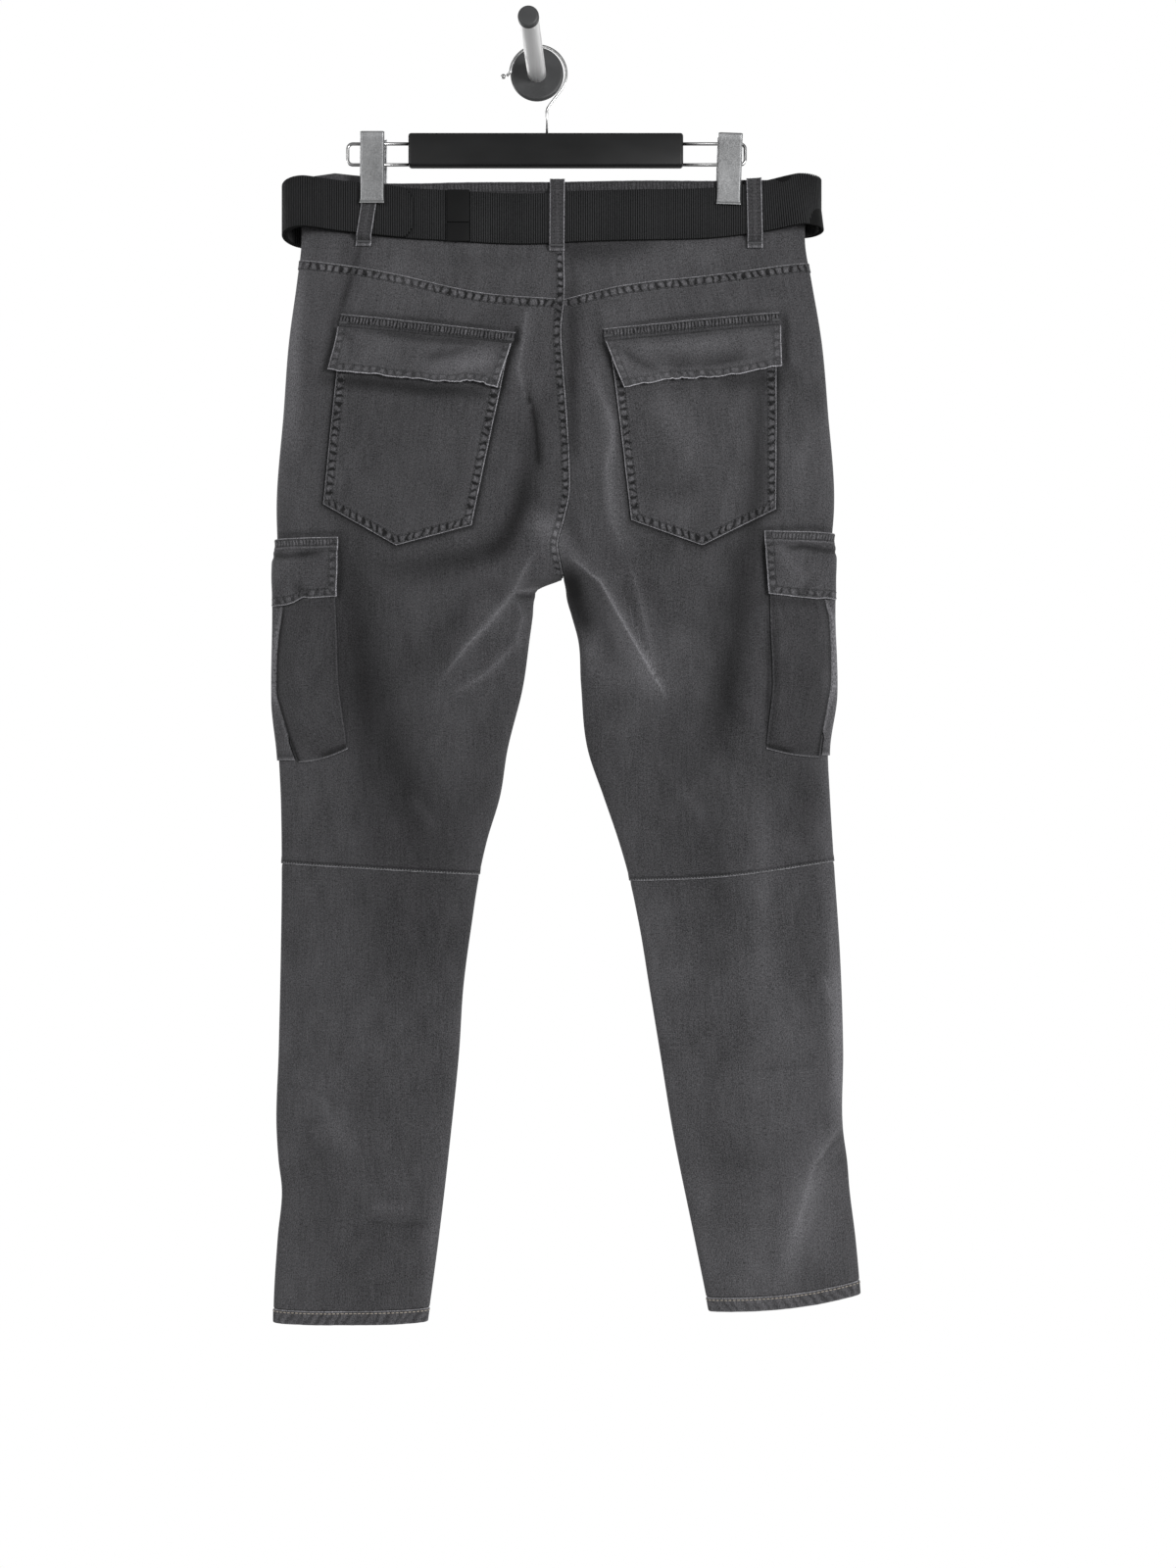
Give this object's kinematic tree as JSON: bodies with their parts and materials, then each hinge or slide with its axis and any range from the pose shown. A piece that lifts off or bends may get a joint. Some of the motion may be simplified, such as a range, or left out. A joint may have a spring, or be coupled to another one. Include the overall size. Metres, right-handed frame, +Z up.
{
  "type": "cargo jeans clipped to a trouser hanger on a wall peg",
  "caption": "Dark grey straight-leg denim cargo jeans with a black webbing belt, hung by the waist from a clip hanger on a round wall peg, with the back shown.",
  "frame": {"origin": "centre of the wall peg's back face, on the wall plane y = 0", "axes": "+Z up along the hanging garment, +Y into the wall, +X to the right of a person who faces the wall, so the garment's back faces -Y and its left leg is at -X"},
  "size_m": [0.5773, 0.1571, 1.2656],
  "materials": {
    "denim": "washed charcoal twill",
    "webbing": "ribbed black webbing",
    "black_plastic": "satin black",
    "chrome_wire": "polished",
    "brushed_plate": "brushed"
  },
  "bodies": {
    "root": {"waistband_back": "denim", "waistband_front": "denim", "yoke_left": "denim", "back_upper_left": "denim", "back_lower_left": "denim", "front_upper_left": "denim", "front_lower_left": "denim", "hem_left": "denim", "back_pocket_left": "denim", "back_flap_strip_left": "denim", "back_flap_left": "denim", "cargo_back_left": "denim", "cargo_front_left": "denim", "cargo_pleat_left": "denim", "cargo_flap_left": "denim", "yoke_right": "denim", "back_upper_right": "denim", "back_lower_right": "denim", "front_upper_right": "denim", "front_lower_right": "denim", "hem_right": "denim", "back_pocket_right": "denim", "back_flap_strip_right": "denim", "back_flap_right": "denim", "cargo_back_right": "denim", "cargo_front_right": "denim", "cargo_pleat_right": "denim", "cargo_flap_right": "denim", "belt": "webbing", "belt_tail": "webbing", "belt_keeper": "webbing", "belt_buckle": "brushed_plate", "belt_loop_back_left": "denim", "belt_loop_back_centre": "denim", "belt_loop_back_right": "denim", "belt_loop_front_left": "denim", "belt_loop_front_right": "denim", "fly": "denim", "waist_button": "brushed_plate", "hanger_bar": "black_plastic", "hanger_rail_left": "chrome_wire", "hanger_rail_right": "chrome_wire", "hanger_hook": "chrome_wire", "hanger_hook_tip": "chrome_wire", "clip_pivot_left": "chrome_wire", "clip_pivot_right": "chrome_wire", "peg_rod": "chrome_wire", "clip_back_left": "brushed_plate", "clip_back_right": "brushed_plate", "clip_front_left": "brushed_plate", "clip_front_right": "brushed_plate", "peg_flange": "black_plastic", "peg_cap": "black_plastic"}
  },
  "joints": []
}
